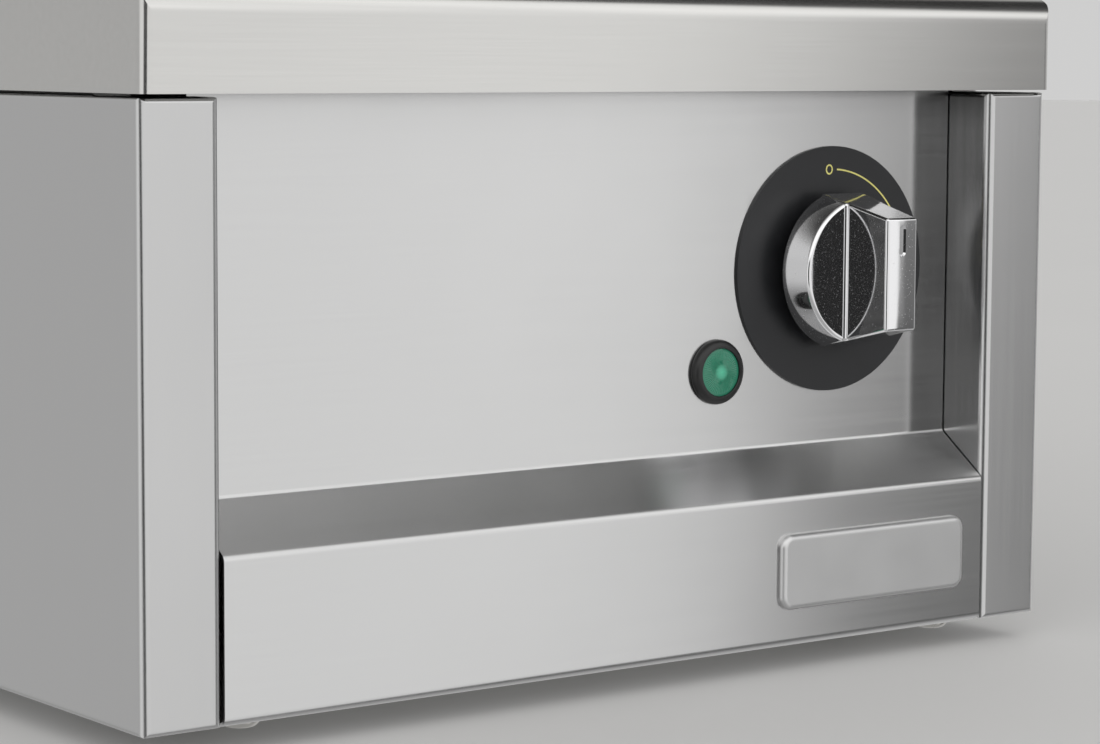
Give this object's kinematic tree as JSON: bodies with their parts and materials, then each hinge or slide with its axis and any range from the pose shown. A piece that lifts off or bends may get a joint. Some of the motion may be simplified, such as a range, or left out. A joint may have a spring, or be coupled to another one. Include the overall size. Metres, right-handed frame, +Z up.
{
  "type": "counter-top chip warmer",
  "caption": "Stainless counter-top chip warmer: lift-out pan with drain plate under an overhead infrared canopy, recessed front panel with rotary switch and pilot lamp.",
  "frame": {"origin": "on the floor under the middle of the object's box", "axes": "+Z up, front faces -Y, +X to the right seen from the front"},
  "size_m": [0.4, 0.636, 0.565],
  "materials": {
    "cabinet_steel": "brushed, fine horizontal grain",
    "worktop_steel": "brushed, polished edge",
    "inner_steel": "mill finish",
    "pan_steel": "deep-drawn, satin",
    "fastener_steel": "bright",
    "knob_chrome": "polished",
    "badge_metal": "satin",
    "dial_black": "satin black",
    "black_plastic": "moulded",
    "lamp_green": "ribbed translucent",
    "reflector_metal": "polished",
    "emitter_ceramic": "glazed",
    "stud_brass": "plain",
    "foot_rubber": "moulded",
    "lead_sleeve": "sleeved"
  },
  "bodies": {
    "cabinet": {"left_side_panel": "cabinet_steel", "right_side_panel": "cabinet_steel", "rear_panel": "cabinet_steel", "front_panel": "cabinet_steel", "upright": "cabinet_steel", "upright_cover": "cabinet_steel", "canopy": "cabinet_steel", "worktop": "worktop_steel", "base_pan": "inner_steel", "front_top_rail": "inner_steel", "rear_top_rail": "inner_steel", "left_top_rail": "inner_steel", "right_top_rail": "inner_steel", "backing_plate": "inner_steel", "rear_panel_screws": "fastener_steel", "fascia_screws": "fastener_steel", "fascia_nuts": "fastener_steel", "switch_nut": "fastener_steel", "foot_screws": "fastener_steel", "foot_nuts": "fastener_steel", "cover_screws": "fastener_steel", "upright_bolts": "fastener_steel", "upright_nuts": "fastener_steel", "canopy_screws": "fastener_steel", "emitter_clips": "fastener_steel", "wire_guard": "fastener_steel", "badge_plate": "badge_metal", "dial_plate": "dial_black", "rotary_switch": "black_plastic", "lamp_bezel": "black_plastic", "lamp_nut": "black_plastic", "gland_body": "black_plastic", "gland_cap": "black_plastic", "gland_nut": "black_plastic", "lamp_lens": "lamp_green", "reflector": "reflector_metal", "emitter_front": "emitter_ceramic", "emitter_rear": "emitter_ceramic", "terminal_block": "emitter_ceramic", "heater_terminal_block": "emitter_ceramic", "bonding_stud": "stud_brass", "bonding_nut": "stud_brass", "foot_front_left": "foot_rubber", "foot_front_right": "foot_rubber", "foot_rear_left": "foot_rubber", "foot_rear_right": "foot_rubber", "switch_lead": "lead_sleeve", "lamp_lead": "lead_sleeve", "heater_lead": "lead_sleeve"},
    "knob": {"control_knob": "knob_chrome", "knob_insert": "black_plastic", "switch_spindle": "fastener_steel"},
    "pan": {"chip_pan": "pan_steel"},
    "drain": {"drain_plate": "pan_steel"}
  },
  "joints": [
    {"name": "knob_turn", "type": "hinge", "parent": "cabinet", "child": "knob", "pos_m": [0.109, -0.278, 0.147], "axis": [0, 1, 0], "range_deg": [0, 90]},
    {"name": "pan_lift", "type": "slide", "parent": "cabinet", "child": "pan", "axis": [0, 0, 1], "range_m": [0, 0.165]},
    {"name": "drain_lift", "type": "slide", "parent": "pan", "child": "drain", "axis": [0, 0, 1], "range_m": [0, 0.15]}
  ]
}
